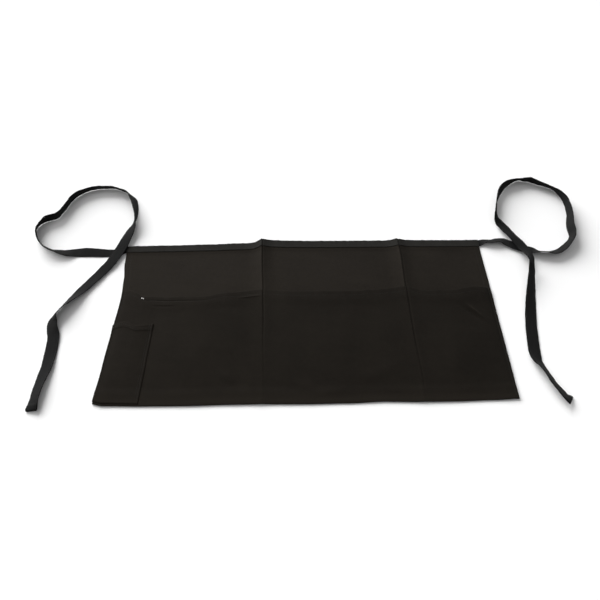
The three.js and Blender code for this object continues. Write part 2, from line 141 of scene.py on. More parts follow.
rightRoute = [
    (0.012, 0.004, -26, 0.0002), (0.024, 0.003, -31, 0), (0.036, 0.005, -28, 0), (0.046, 0.004, -14, 0),
    (0.056, -0.002, -12, 0), (0.067, -0.008, -8, 0), (0.078, -0.013, -8, 0), (0.088, -0.017, -8, 0),
    (0.097, -0.022, -32, 0), (0.103, -0.024, -47, 0), (0.113, -0.025, -46, 0), (0.122, -0.026, -38, 0),
    (0.131, -0.024, -36, 0), (0.142, -0.018, -43, 0), (0.154, -0.007, -54, 0), (0.165, 0.006, -67, 0),
    (0.170, 0.018, -74, 0), (0.171, 0.032, -71, 0), (0.175, 0.049, -70, 0), (0.180, 0.068, -80, 0),
    (0.182, 0.086, -88, 0), (0.182, 0.101, -93, 0), (0.178, 0.117, -109, 0), (0.170, 0.131, -123, 0),
    (0.162, 0.139, -127, 0), (0.151, 0.145, -121, 0), (0.140, 0.151, -115, 0), (0.131, 0.157, -112, 0),
    (0.121, 0.158, -118, 0), (0.112, 0.159, -126, 0), (0.098, 0.153, -110, 0), (0.082, 0.144, -85, 0),
    (0.068, 0.129, -70, 0), (0.059, 0.112, -74, 0), (0.052, 0.094, -80, 0), (0.048, 0.075, -76, 0),
    (0.046, 0.061, -48, 0.0003), (0.049, 0.047, -12, 0.0015), (0.055, 0.030, -10, 0.0036), (0.061, 0.013, -14, 0.0052),
    (0.068, -0.002, -8, 0.0064), (0.074, -0.018, -6, 0.0074), (0.077, -0.036, -22, 0.009), (0.076, -0.054, -44, 0.008),
    (0.075, -0.066, -43, 0.003), (0.070, -0.086, -37, 0), (0.062, -0.114, -25, 0), (0.055, -0.141, -14, 0),
    (0.048, -0.171, -8, 0), (0.043, -0.200, -6, 0), (0.040, -0.221, -7, 0), (0.039, -0.236, -22, 0),
    (0.043, -0.248, -40, 0), (0.048, -0.263, -42, 0), (0.053, -0.277, -39, 0), (0.059, -0.289, -36, 0),
    (0.064, -0.298, -33, 0), (0.070, -0.303, -18, 0),
]


def smoothRows(rows, spanSteps):
    rows = np.array(rows, float)
    full = np.vstack([2 * rows[0] - rows[1], rows, 2 * rows[-1] - rows[-2]])
    line = []
    for span in range(1, len(full) - 2):
        before, value, after, beyond = full[span - 1 : span + 3]
        slope, nextSlope, rise = (after - before) / 2, (beyond - value) / 2, after - value
        for step in range(spanSteps):
            t = step / spanSteps
            line.append(value + slope * t + (3 * rise - 2 * slope - nextSlope) * t**2
                        + (slope + nextSlope - 2 * rise) * t**3)
    line.append(rows[-1])
    return np.array(line)


def softWave(along, lengths, seed):
    # a steady sum of sines, between -1 and 1, so that cloth never repeats exactly
    draw = np.random.default_rng(seed)
    total = np.zeros_like(np.asarray(along, float))
    for length in lengths:
        total = total + np.sin(2 * math.pi * (along / length + draw.uniform()))
    return total / len(lengths)


def makeMesh(name, points, faces, uv, material, wearAndLightShare):
    mesh = bpy.data.meshes.new(name)
    mesh.from_pydata([tuple(p) for p in points], [], faces)
    cut = mesh.uv_layers.new(name="cut")
    corners = np.zeros(len(mesh.loops), np.int32)
    mesh.loops.foreach_get("vertex_index", corners)
    cut.data.foreach_set("uv", np.asarray(uv, np.float32)[corners].ravel())
    mask = mesh.attributes.new("wearAndLight", "FLOAT", "POINT")
    mask.data.foreach_set("value", np.asarray(wearAndLightShare, np.float32).ravel())
    shell = bmesh.new()
    shell.from_mesh(mesh)
    bmesh.ops.remove_doubles(shell, verts=shell.verts, dist=1e-6)
    bmesh.ops.recalc_face_normals(shell, faces=shell.faces)
    shell.to_mesh(mesh)
    shell.free()
    mesh.shade_smooth()
    mesh.materials.append(material)
    return addObject(name, mesh)


twillBib, twillPocketShaded, tapeBlack, bandTapeLit, threadBlack, threadWhite = (
    bpy.data.materials.new(name)
    for name in ("twillBib", "twillPocketShaded", "tapeBlack", "bandTapeLit", "threadBlack", "threadWhite")
)


def panelWall(x):
    fromSide = half - np.abs(x)
    return layer * (1 + clampShare((cloth["sideHem"] + cloth["hemStep"] - fromSide) / cloth["hemStep"]))


def seat(y):
    # the panel rides up over the band's back leg and over the pocket's turned-under bottom
    nearBand = clampShare((y - (topLine - cloth["bandDepth"] - cloth["ramp"])) / cloth["ramp"])
    nearTurn = clampShare((bottomLine + cloth["bottomTurn"] + 2 * cloth["ramp"] - y) / cloth["ramp"])
    return (layer + cloth["gap"]) * np.maximum(nearBand, nearTurn)


def bandEnd(side):
    # where the middle of the band's end lies, and half the thickness there
    x, y = np.array(side * half), np.array(topLine - cloth["bandDepth"] / 2)
    middle = (seat(y) + panelWall(x) + cloth["gap"] + layer) / 2
    px, py = plan(x, y)
    return px + side * cloth["gap"], py, middle


def tieLine(side, route):
    anchorX, anchorY = side * half, topLine - cloth["bandDepth"] / 2
    endX, endY, middle = bandEnd(side)
    rows = [(endX, endY, 0, middle - cloth["tieWall"] / 2)]
    rows += [(x + anchorX, y + anchorY, roll, lift) for x, y, roll, lift in route]
    return smoothRows(rows, ties["spanSteps"])


def tieFrames(side, route):
    # middle points, the direction to the tape's left edge, the direction out of its face, half its width
    line = tieLine(side, route)
    run = np.gradient(line[:, :2], axis=0)
    run[0] = (side, 0)
    run /= np.linalg.norm(run, axis=1)[:, None]
    roll = np.radians(line[:, 2])
    level, rise = np.cos(roll), np.sin(roll)
    edgeward = np.column_stack([-run[:, 1] * level, run[:, 0] * level, rise])
    outward = np.column_stack([run[:, 1] * rise, -run[:, 0] * rise, level])
    neck = clampShare(np.arange(len(line)) / (ties["neckSpans"] * ties["spanSteps"]))
    narrow = cloth["bandDepth"] - ties["neckSlack"]
    reach = (narrow + (cloth["tieWidth"] - narrow) * neck) / 2
    toEnd = np.linalg.norm(line[:, :2] - line[-1, :2], axis=1)
    ramp = ties["endRamp"]
    wall = cloth["tieWall"] * (1 + ties["endPlump"] * clampShare((cloth["endHem"] + ramp - toEnd) / ramp))
    reach = reach * (1 - ties["endRound"] * (1 - clampShare(toEnd / ramp)))
    lowest = np.maximum(0, line[:, 3])
    height = lowest + reach * np.abs(rise) + wall / 2 * np.abs(level)
    middle = np.column_stack([line[:, :2], height])
    return middle, edgeward, outward, reach, wall


def makeTie(name, side, route, seed):
    middle, edgeward, outward, reach, wall = tieFrames(side, route)
    travel = np.concatenate([[0], np.cumsum(np.linalg.norm(np.diff(middle, axis=0), axis=1))])
    # one face across the tape: a rounded edge, a sewn groove just inside it, and a slight crown
    across = np.array([-1, -0.985, -0.94, -0.87, -0.80, -0.76, -0.71, -0.62, -0.35, 0,
                       0.35, 0.62, 0.71, 0.76, 0.80, 0.87, 0.94, 0.985, 1])
    points, uv = [], []
    for index in range(len(middle)):
        s = across * reach[index]
        inset = np.abs(reach[index] - np.abs(s))
        inward = clampShare(inset / ties["edgeRound"])
        rounded = np.sqrt(inward * (2 - inward))
        groove = ties["groove"] * np.exp(-(((inset - ties["stitchInset"]) / ties["grooveWidth"]) ** 2))
        rib = ties["cordRib"] * np.abs(np.sin(travel[index] / ties["cordPitch"]))
        lift = wall[index] / 2 * (0.25 + 0.75 * rounded) - groove - rib
        leftWave = softWave(travel[index], (0.013, 0.021, 0.034), seed)
        rightWave = softWave(travel[index], (0.011, 0.024, 0.031), seed + 1)
        wave = ties["edgeWave"] * across**3 * np.where(across > 0, leftWave, rightWave)
        wave = wave * clampShare(travel[index] / ties["calmEnd"])
        base = middle[index] + np.outer(s, edgeward[index])
        top = base + np.outer(wave + lift, outward[index])
        bottom = base + np.outer(wave - lift, outward[index])
        ring = np.vstack([top, bottom[::-1]])
        points.append(ring)
        uv.append(np.column_stack([np.full(len(ring), travel[index]), np.concatenate([s, s[::-1]])]))
    rings = np.array(points)
    rings[:, :, 2] = np.maximum(rings[:, :, 2], 0.00005)
    count, around = rings.shape[:2]
    faces = [(r * around + k, r * around + (k + 1) % around, (r + 1) * around + (k + 1) % around, (r + 1) * around + k)
             for r in range(count - 1) for k in range(around)]
    faces.append(tuple(range(around))[::-1])
    faces.append(tuple((count - 1) * around + k for k in range(around)))
    uv = np.array(uv)
    edge = clampShare((np.abs(uv[:, :, 1]) / reach[:, None] - ties["rimStart"]) / (1 - ties["rimStart"]))
    piece = makeMesh(name, rings.reshape(-1, 3), faces, uv.reshape(-1, 2), tapeBlack, edge)
    return piece, middle, edgeward, outward, reach, wall, travel


tieLeft, leftMiddle, *leftFrame = makeTie("tieLeft", -1, leftRoute, 31)
tieRight, rightMiddle, *rightFrame = makeTie("tieRight", 1, rightRoute, 47)
for piece, middle, node, length in (
    (tieLeft, leftMiddle, "tie_left", ties["leftLength"]),
    (tieRight, rightMiddle, "tie_right", ties["rightLength"]),
):
    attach(piece, "root")
    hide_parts(node)
    print(piece.name, "measures", round(float(np.linalg.norm(np.diff(middle, axis=0), axis=1).sum()), 4), "m")

# ---- the lie of the cloth
lie = {"relief": 0.0007, "crumple": 0.00022, "pucker": 0.00018, "puckerReach": 0.006}
# each crease: where its line runs (height up, place across), how tall its pressed edge is, its left and right
# flanks, the small tuck beside it, and how much of it is left from the hem up
creases = [
    {"line": [(-0.16, -0.0665), (-0.124, -0.067), (-0.02, -0.070), (0.043, -0.072), (0.109, -0.0745), (0.16, -0.0755)],
     "edge": 0.0005, "left": 0.0085, "right": 0.0021, "tuck": 0.0011, "tuckAt": 0.0019, "tuckWidth": 0.0010,
     "keep": [(-0.13, 0.05), (-0.06, 0.3), (-0.03, 0.55), (0.01, 0.9), (0.15, 1)]},
    {"line": [(-0.16, 0.167), (-0.114, 0.1668), (-0.038, 0.1635), (0.042, 0.163), (0.117, 0.1635), (0.16, 0.161)],
     "edge": 0.0009, "left": 0.006, "right": 0.0036, "tuck": 0.0011, "tuckAt": 0.0028, "tuckWidth": 0.0015,
     "keep": [(-0.15, 0.12), (-0.1, 0.35), (-0.03, 0.85), (0.04, 0.8), (0.15, 0.8)]},
]


def ridge(x, y):
    # the two pressed folds: a soft tent with a crisp line along its top
    tent, crisp = np.zeros_like(x), np.zeros_like(x)
    for crease in creases:
        d = x - eased(crease["line"], y)
        tent = np.maximum(tent, clampShare(1 - np.abs(d) / cloth["foldReach"]) ** 1.7)
        flank = np.where(d < 0, np.exp(d / crease["left"]), np.exp(-d / crease["right"]))
        tuck = crease["tuck"] * np.exp(-(((d - crease["tuckAt"]) / crease["tuckWidth"]) ** 2))
        crisp = crisp + eased(crease["keep"], y) * (crease["edge"] * flank - tuck)
    return np.maximum(0, cloth["foldRise"] * eased(foldFade, y / cloth["height"]) * tent + crisp)


def ripples(draw, x, y, lengths):
    total = np.zeros_like(x)
    for length in lengths:
        turn = draw.uniform(0, math.pi)
        along = x * math.cos(turn) + y * math.sin(turn)
        total = total + np.sin(2 * math.pi * (along / length + draw.uniform()))
    return total


def relief(x, y):
    # how the laid cloth swells off the table, never below it
    draw = np.random.default_rng(12)
    broad = ripples(draw, x, y, (0.31, 0.24, 0.17, 0.12, 0.09))
    fine = ripples(draw, x, y, (0.052, 0.037, 0.029, 0.021))
    return lie["relief"] * (0.5 + broad / 10) + lie["crumple"] * (0.5 + fine / 8)


def panelUnder(x, y):
    return ridge(x, y) + seat(y) + relief(x, y)


def panelTop(x, y):
    return panelUnder(x, y) + panelWall(x)


def bayShare(x, y):
    # share of the gape across a bay: nothing at a sewn side, a little at a fold
    left, right = -half + cloth["sideHem"] / 2, half - cloth["sideHem"] / 2
    lines = [eased(crease["line"], y) for crease in creases]
    ends = [np.full_like(x, left), *lines, np.full_like(x, right)]
    share = np.zeros_like(x)
    for bay in range(3):
        at = (x - ends[bay]) / (ends[bay + 1] - ends[bay])
        held = [(0, 0.3), (0.3, 0.3), (0.3, 0)][bay]
        heldHere = held[0] + (held[1] - held[0]) * clampShare(at)
        arch = np.sin(math.pi * clampShare(at)) ** 0.6
        share = np.where((at >= 0) & (at <= 1), heldHere + (1 - heldHere) * arch, share)
    return share


def depthShare(y, mouth):
    low = bottomLine + cloth["bottomTurn"]
    return clampShare((y - low) / (mouth - low)) ** 0.75


def pencilHold(x, y):
    reach = cloth["pencilWidth"]
    across = clampShare((cloth["pencilWidth"] - half + reach - x) / reach)
    down = clampShare((bottomLine + cloth["pencilHeight"] + reach - y) / reach)
    return 1 - 0.45 * (across * down) ** 1.5


def mouthLine(x):
    return bottomLine + cloth["pocketDepth"] * (1 - eased(mouthSag, x / cloth["width"]))


# shares of the way from the cloth's dark to its light colour: real wear along the creases and sewn sides, and painted
# light:
# the bib and pocket paler towards the left, where the light falls from the left; a lift just under the band, where its
# shadow falls; paler bottom strips for the front light the bottom hem catches. The pencil pocket also gets an even
# lift and a lighter hemmed top
wearAndLight = {
    "creaseBack": 0.0006, "creaseWidth": 0.0012, "rimWidth": 0.0015, "bibLeftLight": 0.95, "pocketLeftLight": 0.5,
    "underBandLift": 0.9, "pocketHem": 0.85, "pencilHem": 0.6, "hemTop": 0.018, "hemFade": 0.020,
    "pencilPale": 0.4, "pencilLip": 0.15,
}
# a painted highlight along the crest of the small diagonal wrinkle on the pocket's right bay
crestHighlight = {"x": 0.2695, "y": 0.0005, "slant": (0.68, 0.73), "length": 0.011, "width": 0.0011, "wearAndLightShare": 2.6}

# small forms pressed into the pocket's front: middle x and y, length, width, turn in degrees, height
dents = [
    (0.268, -0.001, 0.018, 0.0014, -47, 0.0017), (0.264, -0.007, 0.018, 0.0035, -47, -0.0013),
    (0.276, 0.010, 0.018, 0.006, -47, -0.0006), (-0.118, -0.113, 0.015, 0.006, -40, 0.0012),
    (-0.100, -0.122, 0.010, 0.007, -30, -0.0008), (-0.084, -0.125, 0.020, 0.008, -60, 0.0012),
    (-0.060, -0.120, 0.020, 0.010, -60, -0.0008), (-0.005, -0.126, 0.014, 0.006, -15, 0.0010),
    (-0.012, -0.136, 0.020, 0.007, -20, -0.0008), (0.030, -0.137, 0.022, 0.008, 10, 0.0009),
    (0.110, -0.105, 0.030, 0.010, 25, 0.0006), (-0.160, -0.060, 0.030, 0.014, 70, 0.0006),
    (0.060, -0.040, 0.040, 0.016, 80, 0.0005), (0.225, -0.080, 0.035, 0.012, 85, 0.0006),
]


def dented(x, y):
    total = np.zeros_like(x)
    for middleX, middleY, length, width, turn, rise in dents:
        c, s = math.cos(math.radians(turn)), math.sin(math.radians(turn))
        along, aside = (x - middleX) * c + (y - middleY) * s, (y - middleY) * c - (x - middleX) * s
        total = total + rise * np.exp(-((along / length) ** 2) - (aside / width) ** 2)
    return total


def pocketUnder(x, y):
    gape = cloth["mouthGape"] * bayShare(x, y) * depthShare(y, bottomLine + cloth["pocketDepth"]) * pencilHold(x, y)
    soft = clampShare(gape / 0.0015)
    return panelTop(x, y) + cloth["gap"] + gape + dented(x, y) * soft


def pucker(alongSeam, fromSeam, seed):
    # the gathering that a line of stitches draws into the cloth on each side
    wave = softWave(alongSeam, (0.0062, 0.0087, 0.0131), seed)
    return lie["pucker"] * (1 + wave) / 2 * np.exp(-((fromSeam / lie["puckerReach"]) ** 2))


def sewn(fromSeam, depth=0.0002, width=0.0009):
    return -depth * np.exp(-((fromSeam / width) ** 2))


def stations(marks, pitch):
    marks = sorted(set(round(mark, 6) for mark in marks))
    places = [marks[0]]
    for low, high in zip(marks, marks[1:]):
        steps = max(1, round((high - low) / pitch))
        places += [low + (high - low) * step / steps for step in range(1, steps + 1)]
    return places


def dense(low, high, pitch):
    steps = max(1, round((high - low) / pitch))
    return [low + (high - low) * k / steps for k in range(steps + 1)]


def acrossCloth(pitch):
    # stations across the apron, closer together at the hems, the creases and the pencil pocket's inner seam
    marks = []
    for side in (-1, 1):
        marks += [side * value for value in dense(half - 0.016, half - 0.001, 0.0009)]
    marks += dense(-0.079, -0.062, 0.0008) + dense(0.158, 0.172, 0.0009)
    seamX = cloth["pencilWidth"] - half
    marks += dense(seamX - 0.006, seamX + 0.003, 0.0009)
    return stations(marks, pitch)


def facing(grid):
    # the direction out of the cloth at every point of a grid
    outward = np.cross(np.gradient(grid, axis=0), np.gradient(grid, axis=1))
    return outward / np.linalg.norm(outward, axis=2)[:, :, None]


def closedSheet(name, middle, uv, material, wearAndLightShare):
    # a closed cloth body round a grid of middle points, with rounded rims
    rows, cols = middle.shape[:2]
    outward, wall = facing(middle), cloth["thickness"]
    front, back = middle + outward * wall / 2, middle - outward * wall / 2
    ring = ([(r, 0) for r in range(rows)] + [(rows - 1, c) for c in range(1, cols)]
            + [(r, cols - 1) for r in range(rows - 2, -1, -1)] + [(0, c) for c in range(cols - 2, 0, -1)])
    rim = []
    for r, c in ring:
        away = np.zeros(3)
        if r in (0, rows - 1):
            away = away + middle[r, c] - middle[1 if r == 0 else rows - 2, c]
        if c in (0, cols - 1):
            away = away + middle[r, c] - middle[r, 1 if c == 0 else cols - 2]
        rim.append(middle[r, c] + away / np.linalg.norm(away) * wall * 0.45)
    points = np.vstack([front.reshape(-1, 3), back.reshape(-1, 3), np.array(rim)])
    total = rows * cols
    faces = []
    for a in (r * cols + c for r in range(rows - 1) for c in range(cols - 1)):
        b, d, e = a + cols, a + cols + 1, a + 1
        faces += [(a, b, d, e), (total + a, total + e, total + d, total + b)]
    for k in range(len(ring)):
        (r, c), (nr, nc) = ring[k], ring[(k + 1) % len(ring)]
        a, b = r * cols + c, nr * cols + nc
        edge, nextEdge = 2 * total + k, 2 * total + (k + 1) % len(ring)
        faces += [(b, a, edge, nextEdge), (nextEdge, edge, total + a, total + b)]
    flat = uv.reshape(-1, 2)
    ringUv = np.array([uv[r, c] for r, c in ring])
    wearAndLightAll = np.concatenate([wearAndLightShare.ravel(), wearAndLightShare.ravel(), [wearAndLightShare[r, c] for r, c in ring]])
    return makeMesh(name, points, faces, np.vstack([flat, flat, ringUv]), material, wearAndLightAll)


def gridOf(xs, rowsAt, upward=False):
    # every column x gets its own list of (y, height) rows; returns middle points and the cut's own coordinates
    middle, uv = [], []
    for x in xs:
        ys, zs = rowsAt(x)
        column = np.full(len(ys), float(x))
        middle.append(np.column_stack([*plan(column, ys), zs]))
        travel = np.concatenate([[0], np.cumsum(np.hypot(np.diff(ys), np.diff(zs)))])
        uv.append(np.column_stack([column, ys[0] + travel if upward else -travel]))
    return np.array(middle), np.array(uv)


def wearAndLightAt(x, y, crease, rim, leftLight):
    # how worn the cloth is along its creases and its sewn sides, plus painted light: paler towards the left, where the
    # light falls from the left
    total = np.zeros_like(x)
    for row in creases:
        away = x - eased(row["line"], y)
        total += crease * np.exp(-((away + wearAndLight["creaseBack"]) / wearAndLight["creaseWidth"]) ** 2) * eased(row["keep"], y)
    total += rim * np.exp(-(((half - np.abs(x)) / wearAndLight["rimWidth"]) ** 2))
    return total + leftLight * clampShare(0.5 - x / cloth["width"])


# painted light: a paler strip along the bottom edge, for the front light the bottom hem catches
def hemFrontLight(y):
    # the pale strip along the bottom edge
    return clampShare((bottomLine + wearAndLight["hemTop"] - y) / wearAndLight["hemFade"])


def foldEdge(grid, uv, side, depth):
    # turns the cloth under along its first (side -1) or last (side 1) column, with a second layer depth wide below
    source, sourceUv = (grid, uv) if side < 0 else (grid[::-1], uv[::-1])
    edge, edgeUv = source[0], sourceUv[0]
    turned, turnedUv = [], []
    for k in range(1, 5):
        angle = math.pi * k / 5
        shift = np.array([side * layer / 2 * math.sin(angle), 0, -layer / 2 * (1 - math.cos(angle))])
        turned.append(edge + shift)
        turnedUv.append(edgeUv + [side * layer * k / 5, 0])
    reachAcross = np.abs(sourceUv[:, 0, 0] - edgeUv[0, 0])
    for k in range(0, int(np.searchsorted(reachAcross, depth)) + 1, 2):
        under = source[k].copy()
        under[:, 2] -= layer
        turned.append(under)
        turnedUv.append(edgeUv + [side * (layer * 1.6 + reachAcross[k]), 0])
    made, madeUv = np.concatenate([turned[::-1], source]), np.concatenate([turnedUv[::-1], sourceUv])
    return (made, madeUv) if side < 0 else (made[::-1], madeUv[::-1])


def insetOf(x):
    # how far inside the finished edge a sheet's fold has its centre, where it turns round the panel's edge
    return panelWall(x) / 2 + cloth["gap"] + layer


# ---- skirt panel: the back layer, whose upper part shows above the pocket
panel = {"pitch": 0.0028, "bibPitch": 0.0022, "hiddenPitch": 0.009, "hemStitch": 0.0102}


def panelRows(x):
    x = float(x)
    start, end = bottomLine + insetOf(x), topLine - insetOf(x)
    seam = topLine - cloth["bandDepth"]
    inner = stations([bottomLine + 0.012, bottomLine + 0.022, 0.010], panel["hiddenPitch"])
    bib = stations([0.010, seam - 0.010], panel["bibPitch"])[1:]
    bib += stations([seam - 0.010, topLine - 0.0045], 0.0014)[1:]
    ys = np.array([start, *inner, *bib, end])
    xs = np.full(len(ys), x)
    fromSide = half - abs(x)
    zs = panelUnder(xs, ys) + panelWall(xs) - layer / 2
    fromStitch = np.full_like(ys, fromSide - panel["hemStitch"])
    zs = zs + pucker(xs, ys - (seam + 0.001), 3) * (ys < seam) + pucker(ys, fromStitch, 5)
    return ys, zs + sewn(fromStitch, 0.00015)


panelGrid, panelUv = gridOf(acrossCloth(panel["pitch"]), panelRows, upward=True)
flatX, flatY = panelUv[:, :, 0], panelUv[:, :, 1]
# painted light: the bib paler towards the left
panelWearAndLight = wearAndLightAt(flatX, flatY, 1, 1, wearAndLight["bibLeftLight"])
# painted light: a lift just under the band's seam, where the band's shadow falls
panelWearAndLight += wearAndLight["underBandLift"] * np.exp(-(((topLine - cloth["bandDepth"] - flatY) / 0.003) ** 2))
panelWearAndLight = clampShare(panelWearAndLight)
for side in (-1, 1):
    before = len(panelGrid)
    panelGrid, panelUv = foldEdge(panelGrid, panelUv, side, cloth["sideHem"])
    extra = np.zeros((len(panelGrid) - before, panelGrid.shape[1]))
    panelWearAndLight = np.concatenate([extra, panelWearAndLight] if side < 0 else [panelWearAndLight, extra])
skirtPanel = closedSheet("skirtPanel", panelGrid, panelUv, twillBib, panelWearAndLight)
print("skirt panel", len(skirtPanel.data.polygons), "faces")

# ---- pocket front: hemmed mouth at the top, turned under at the bottom
pocket = {
    "pitch": 0.0026, "rowPitch": 0.0026, "stitchFromMouth": 0.0078, "sideStitch": 0.0042,
    "secondRow": 0.0185, "liftRow": 0.012, "liftWidth": 0.0014, "flute": 0.0003, "fluteReach": 0.012,
}
# stretches along the mouth where its hem is drawn tight, sewn twice or lifted: middle, half length, depth or height
mouthForms = {
    "tight": (-0.215, 0.055, 0.0005), "double": (-0.231, 0.018, 0.0006), "lifted": (-0.091, 0.017, 0.0007),
}


def mouthForm(x, form):
    middle, reach, size = mouthForms[form]
    return size * np.exp(-(((x - middle) / reach) ** 4))


def pocketLine(x, fromMouth):
    centre = bottomLine + insetOf(x)
    sag = (mouthLine(x) - centre) / (bottomLine + cloth["pocketDepth"] - centre)
    return centre + (bottomLine + cloth["pocketDepth"] - fromMouth - centre) * sag


hemRows = np.array(dense(0, 0.018, 0.0009))
turnStart = cloth["pocketDepth"] - cloth["bottomTurn"] - cloth["ramp"]
frontRows = stations([0.018, turnStart, cloth["pocketDepth"] - 0.0035], pocket["rowPitch"])
downRows = np.concatenate([hemRows, frontRows[1:]])


def pocketFace(x, fromMouth):
    # height of the outer layer's middle, on its squared-up cloth
    y = pocketLine(x, fromMouth)
    hem = clampShare((cloth["mouthHem"] + cloth["hemStep"] - fromMouth) / cloth["hemStep"])
    z = pocketUnder(x, y) + layer * (0.5 + hem * hem * (3 - 2 * hem))
    fromStitch = fromMouth - pocket["stitchFromMouth"]
    z = z + sewn(fromStitch, 0.00004 + mouthForm(x, "tight"), 0.001)
    z = z + sewn(fromMouth - pocket["secondRow"], mouthForm(x, "double"), 0.001)
    z = z + mouthForm(x, "lifted") * np.exp(-(((fromMouth - pocket["liftRow"]) / pocket["liftWidth"]) ** 2))
    z = z + pucker(x, fromStitch, 9) * 0.2
    z = z + pocket["flute"] * softWave(x, (0.019, 0.031, 0.047), 10) * np.exp(-fromMouth / pocket["fluteReach"])
    fromSeam = half - np.abs(x) - pocket["sideStitch"]
    return y, z + sewn(fromSeam, 0.0001) + pucker(y, fromSeam, 14) * 0.3


def hemBack(y, z, down, hem):
    # the layer turned in behind a mouth, from its raw edge up, and the roll over the mouth's lip
    count = int(np.searchsorted(down, hem)) + 1
    bend = [math.pi * k / 5 for k in range(5)]
    lipY = [y[0] + layer / 2 * math.sin(a) for a in bend]
    lipZ = [z[0] - layer / 2 * (1 + math.cos(a)) for a in bend]
    return np.concatenate([y[1:count][::-1], lipY]), np.concatenate([z[1:count][::-1] - layer, lipZ])


def pocketRowsAt(x):
    # from the hem's raw edge, up to the mouth, over it, down the face and round under the bottom
    x = float(x)
    y, z = pocketFace(np.full(len(downRows), x), downRows)
    innerY, innerZ = hemBack(y, z, downRows, cloth["mouthHem"])
    centre = bottomLine + insetOf(x)
    one, at = np.array([x]), np.array([centre])
    high = float(pocketUnder(one, at)[0]) + layer / 2
    low = float(ridge(one, at)[0] + relief(one, at)[0]) + layer / 2
    turnRadius = (high - low) / 2
    turn = [math.pi * k / 8 for k in range(9)]
    turnY = [centre - turnRadius * math.sin(a) for a in turn]
    turnZ = [low + turnRadius * (1 + math.cos(a)) for a in turn]
    backY = np.linspace(centre + 0.002, bottomLine + cloth["bottomTurn"], 5)
    backX = np.full(len(backY), x)
    backZ = ridge(backX, backY) + relief(backX, backY) + layer / 2
    return np.concatenate([innerY, y[:-1], turnY, backY]), np.concatenate([innerZ, z[:-1], turnZ, backZ])


pocketGrid, pocketUv = gridOf(acrossCloth(pocket["pitch"]), pocketRowsAt)
hemCount = int(np.searchsorted(downRows, cloth["mouthHem"]))
flatX, flatY = pocketUv[:, :, 0], pocketGrid[:, :, 1]
# painted light: the paler bottom strip stands in for the front light the bottom hem catches
pocketWearAndLight = wearAndLightAt(flatX, flatY, 0.22, 0.3, wearAndLight["pocketLeftLight"]) + wearAndLight["pocketHem"] * hemFrontLight(flatY)
# painted highlight along the crest of the small diagonal wrinkle
streakX, streakY, (c, s) = flatX - crestHighlight["x"], flatY - crestHighlight["y"], crestHighlight["slant"]
streakAway = ((s * streakX + c * streakY) / crestHighlight["width"]) ** 2
streakAway += ((c * streakX - s * streakY) / crestHighlight["length"]) ** 4
pocketWearAndLight += crestHighlight["wearAndLightShare"] * np.exp(-streakAway)
pocketFront = closedSheet("pocketFront", pocketGrid, pocketUv, twillPocketShaded, clampShare(pocketWearAndLight))
print("pocket front", len(pocketFront.data.polygons), "faces")

# ---- pencil pocket: a narrow second layer sewn down at both sides and at the bottom
pencil = {
    "pitch": 0.0011, "hem": 0.011, "stitch": 0.0095, "rowGap": 0.0045, "seamStitch": 0.0022, "seamGap": 0.0035,
}
pencilTop = cloth["pocketDepth"] - cloth["pencilHeight"]
pencilDown = np.array(dense(pencilTop, pencilTop + 0.014, 0.0009)
                      + stations([pencilTop + 0.014, cloth["pocketDepth"] - 0.0035], 0.0026)[1:])


def pencilRowsAt(x):
    x = float(x)
    across = (x + half) / cloth["pencilWidth"]
    seam = cloth["pencilSeam"]
    share = clampShare((across * cloth["pencilWidth"] - seam) / (cloth["pencilWidth"] - 2 * seam))
    arch = max(0.0, math.sin(math.pi * share)) ** 0.8
    sag = cloth["pencilHeight"] * float(eased(pencilSag, across))
    fromTop = pencilDown - pencilTop
    down = pencilDown + sag * np.exp(-fromTop / 0.03)
    xs = np.full(len(down), x)
    ys = pocketLine(xs, down)
    gape = cloth["pencilGape"] * arch * depthShare(ys, bottomLine + cloth["pencilHeight"])
    faceZ = pocketFace(xs, down)[1]
    hem = clampShare((pencil["hem"] + 0.0015 - fromTop) / 0.0015) * layer
    zs = pocketUnder(xs, ys) + 1.5 * layer + cloth["gap"] + gape
    zs = np.maximum(zs, faceZ + layer + 0.0001) + hem
    fromStitch = fromTop - pencil["stitch"]
    zs = zs + sewn(fromStitch, 0.0002, 0.001) + sewn(fromStitch + pencil["rowGap"], 0.0002, 0.001)
    fromSeam = min(x + half, cloth["pencilWidth"] - half - x) - pencil["seamStitch"]
    zs = zs + pucker(xs, fromStitch, 21) + pucker(ys, np.full_like(ys, fromSeam), 23) * 0.4
    innerY, innerZ = hemBack(ys, zs, fromTop, pencil["hem"])
    return np.concatenate([innerY, ys]), np.concatenate([innerZ, zs])


pencilXs = dense(-half + 0.0005, cloth["pencilWidth"] - half, pencil["pitch"])
pencilGrid, pencilUv = gridOf(pencilXs, pencilRowsAt)
pencilCount = int(np.searchsorted(pencilDown - pencilTop, pencil["hem"]))
# painted light: the paler bottom strip, as on the pocket front
pencilWearAndLight = wearAndLight["pencilPale"] + wearAndLight["pencilHem"] * hemFrontLight(pencilGrid[:, :, 1])
pencilWearAndLight[:, pencilCount : pencilCount + 7] += wearAndLight["pencilLip"]
pencilPocket = closedSheet("pencilPocket", pencilGrid, pencilUv, twillPocketShaded, clampShare(pencilWearAndLight))
print("pencil pocket", len(pencilPocket.data.polygons), "faces")

# ---- waistband: tape folded over the panel's top edge
band = {"pitch": 0.0016, "stitch": 0.0022, "gather": 0.00035}


